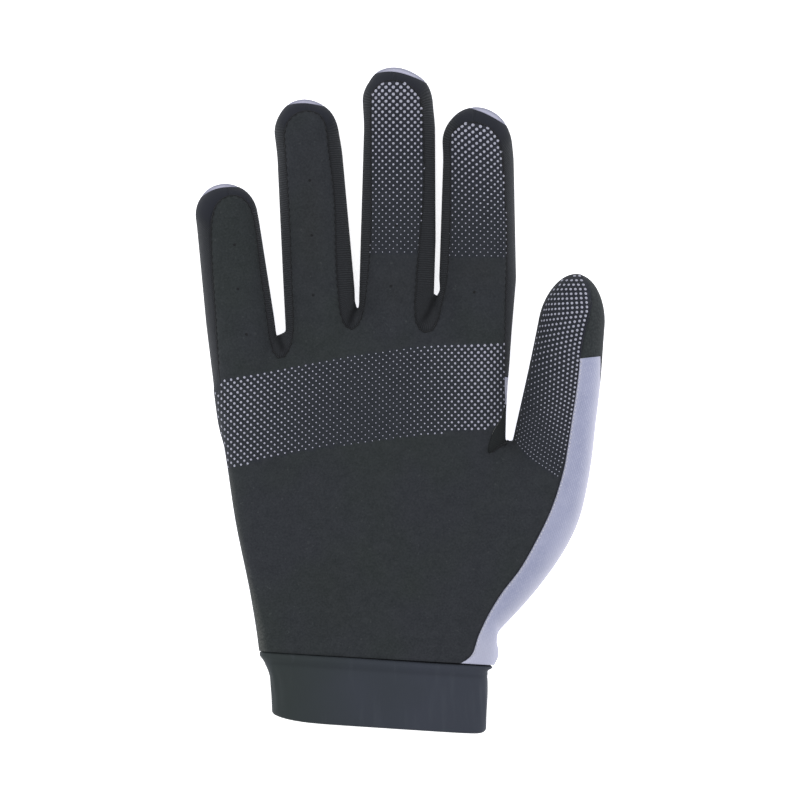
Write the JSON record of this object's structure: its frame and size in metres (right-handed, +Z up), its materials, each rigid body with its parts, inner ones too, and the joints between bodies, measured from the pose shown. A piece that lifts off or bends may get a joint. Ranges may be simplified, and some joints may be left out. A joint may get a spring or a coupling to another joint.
{
  "type": "full-finger cycling glove",
  "caption": "Full-finger sports glove for the right hand: suede palm with dotted grip bands, ribbed finger walls, knit back and elastic cuff.",
  "frame": {"origin": "middle of the bounding box's bottom face, on the surface that the glove's back rests on", "axes": "+X to the thumb side, +Y from the cuff to the fingertips, +Z up out of the palm"},
  "size_m": [0.1328, 0.2166, 0.0245],
  "materials": {
    "palm_suede": "matt synthetic suede with a soft nap, pale grip dots printed on it",
    "back_knit": "fine stretch knit with a soft sheen",
    "rib_knit": "matt fine ribbed knit",
    "microfibre": "matt brushed microfibre",
    "cuff_elastic": "smooth elastic jersey over foam"
  },
  "bodies": {
    "root": {"palm_panel": "palm_suede", "back_panel": "back_knit", "outer_side_little": "rib_knit", "fourchette_little_ring": "rib_knit", "fourchette_ring_middle": "rib_knit", "fourchette_middle_index": "rib_knit", "outer_side_index": "rib_knit", "web_gusset": "microfibre", "thumb_patch": "microfibre", "cuff": "cuff_elastic"}
  },
  "joints": []
}
